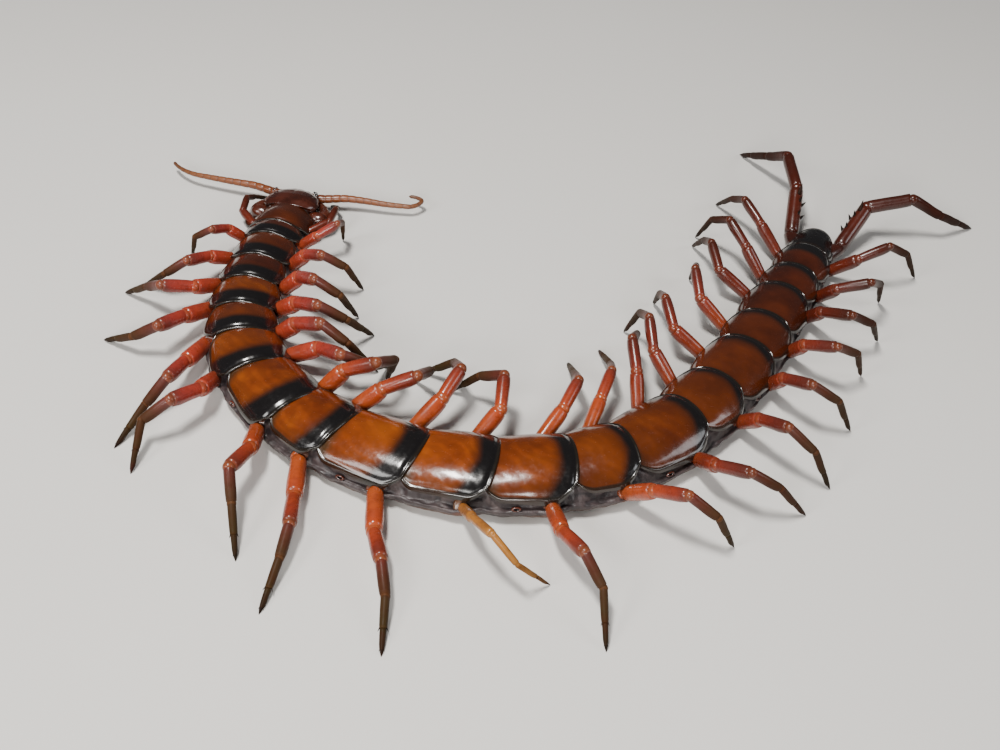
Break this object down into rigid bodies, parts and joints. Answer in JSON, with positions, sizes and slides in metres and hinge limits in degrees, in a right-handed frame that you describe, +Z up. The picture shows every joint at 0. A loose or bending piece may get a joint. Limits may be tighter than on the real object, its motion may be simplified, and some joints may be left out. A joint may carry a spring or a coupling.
{
  "type": "giant centipede model",
  "caption": "Still life-size giant centipede, curved like a horseshoe on the floor: shell-plated trunk, head with feelers and poison claws, arched legs and long tail legs.",
  "frame": {"origin": "middle of the bounding box, at the floor that the belly and the feet stand on", "axes": "+Z up; +X across the horseshoe, from the head's arm towards the tail's arm; +Y towards the head and the tail end, away from the bend"},
  "size_m": [0.156, 0.1266, 0.0105],
  "materials": {
    "shell": "glossy rusty brown plates with black rear bands over dull purplish grey skin",
    "head": "glossy dark red-brown",
    "claw": "glossy dark red-brown with black tips",
    "feeler": "satin orange-brown in fine rings",
    "eye": "polished black",
    "leg": "glossy orange-red, darkening to purplish brown and olive at the feet",
    "tail_leg": "glossy dark red-brown"
  },
  "bodies": {
    "root": {"head": "head", "trunk_01_03": "shell", "trunk_04_05": "shell", "trunk_06_07": "shell", "trunk_08_09": "shell", "trunk_10_11": "shell", "trunk_12_13": "shell", "trunk_14_15": "shell", "trunk_16_17": "shell", "trunk_18_19": "shell", "trunk_20_21": "shell", "antenna_left": "feeler", "forcipule_left": "claw", "eye_left": "eye", "antenna_right": "feeler", "forcipule_right": "claw", "eye_right": "eye", "leg_left_01": "leg", "leg_left_02": "leg", "leg_left_03": "leg", "leg_left_04": "leg", "leg_left_05": "leg", "leg_left_06": "leg", "leg_left_07": "leg", "leg_left_08": "leg", "leg_left_09": "leg", "leg_left_10": "leg", "leg_left_11": "leg", "leg_left_12": "leg", "leg_left_13": "leg", "leg_left_14": "leg", "leg_left_15": "leg", "leg_left_16": "leg", "leg_left_17": "leg", "leg_left_18": "leg", "leg_left_19": "leg", "leg_left_20": "leg", "leg_left_21": "tail_leg", "leg_right_01": "leg", "leg_right_02": "leg", "leg_right_03": "leg", "leg_right_04": "leg", "leg_right_05": "leg", "leg_right_06": "leg", "leg_right_07": "leg", "leg_right_08": "leg", "leg_right_09": "leg", "leg_right_10": "leg", "leg_right_11": "leg", "leg_right_12": "leg", "leg_right_13": "leg", "leg_right_14": "leg", "leg_right_15": "leg", "leg_right_16": "leg", "leg_right_17": "leg", "leg_right_18": "leg", "leg_right_19": "leg", "leg_right_20": "leg", "leg_right_21": "tail_leg"}
  },
  "joints": []
}
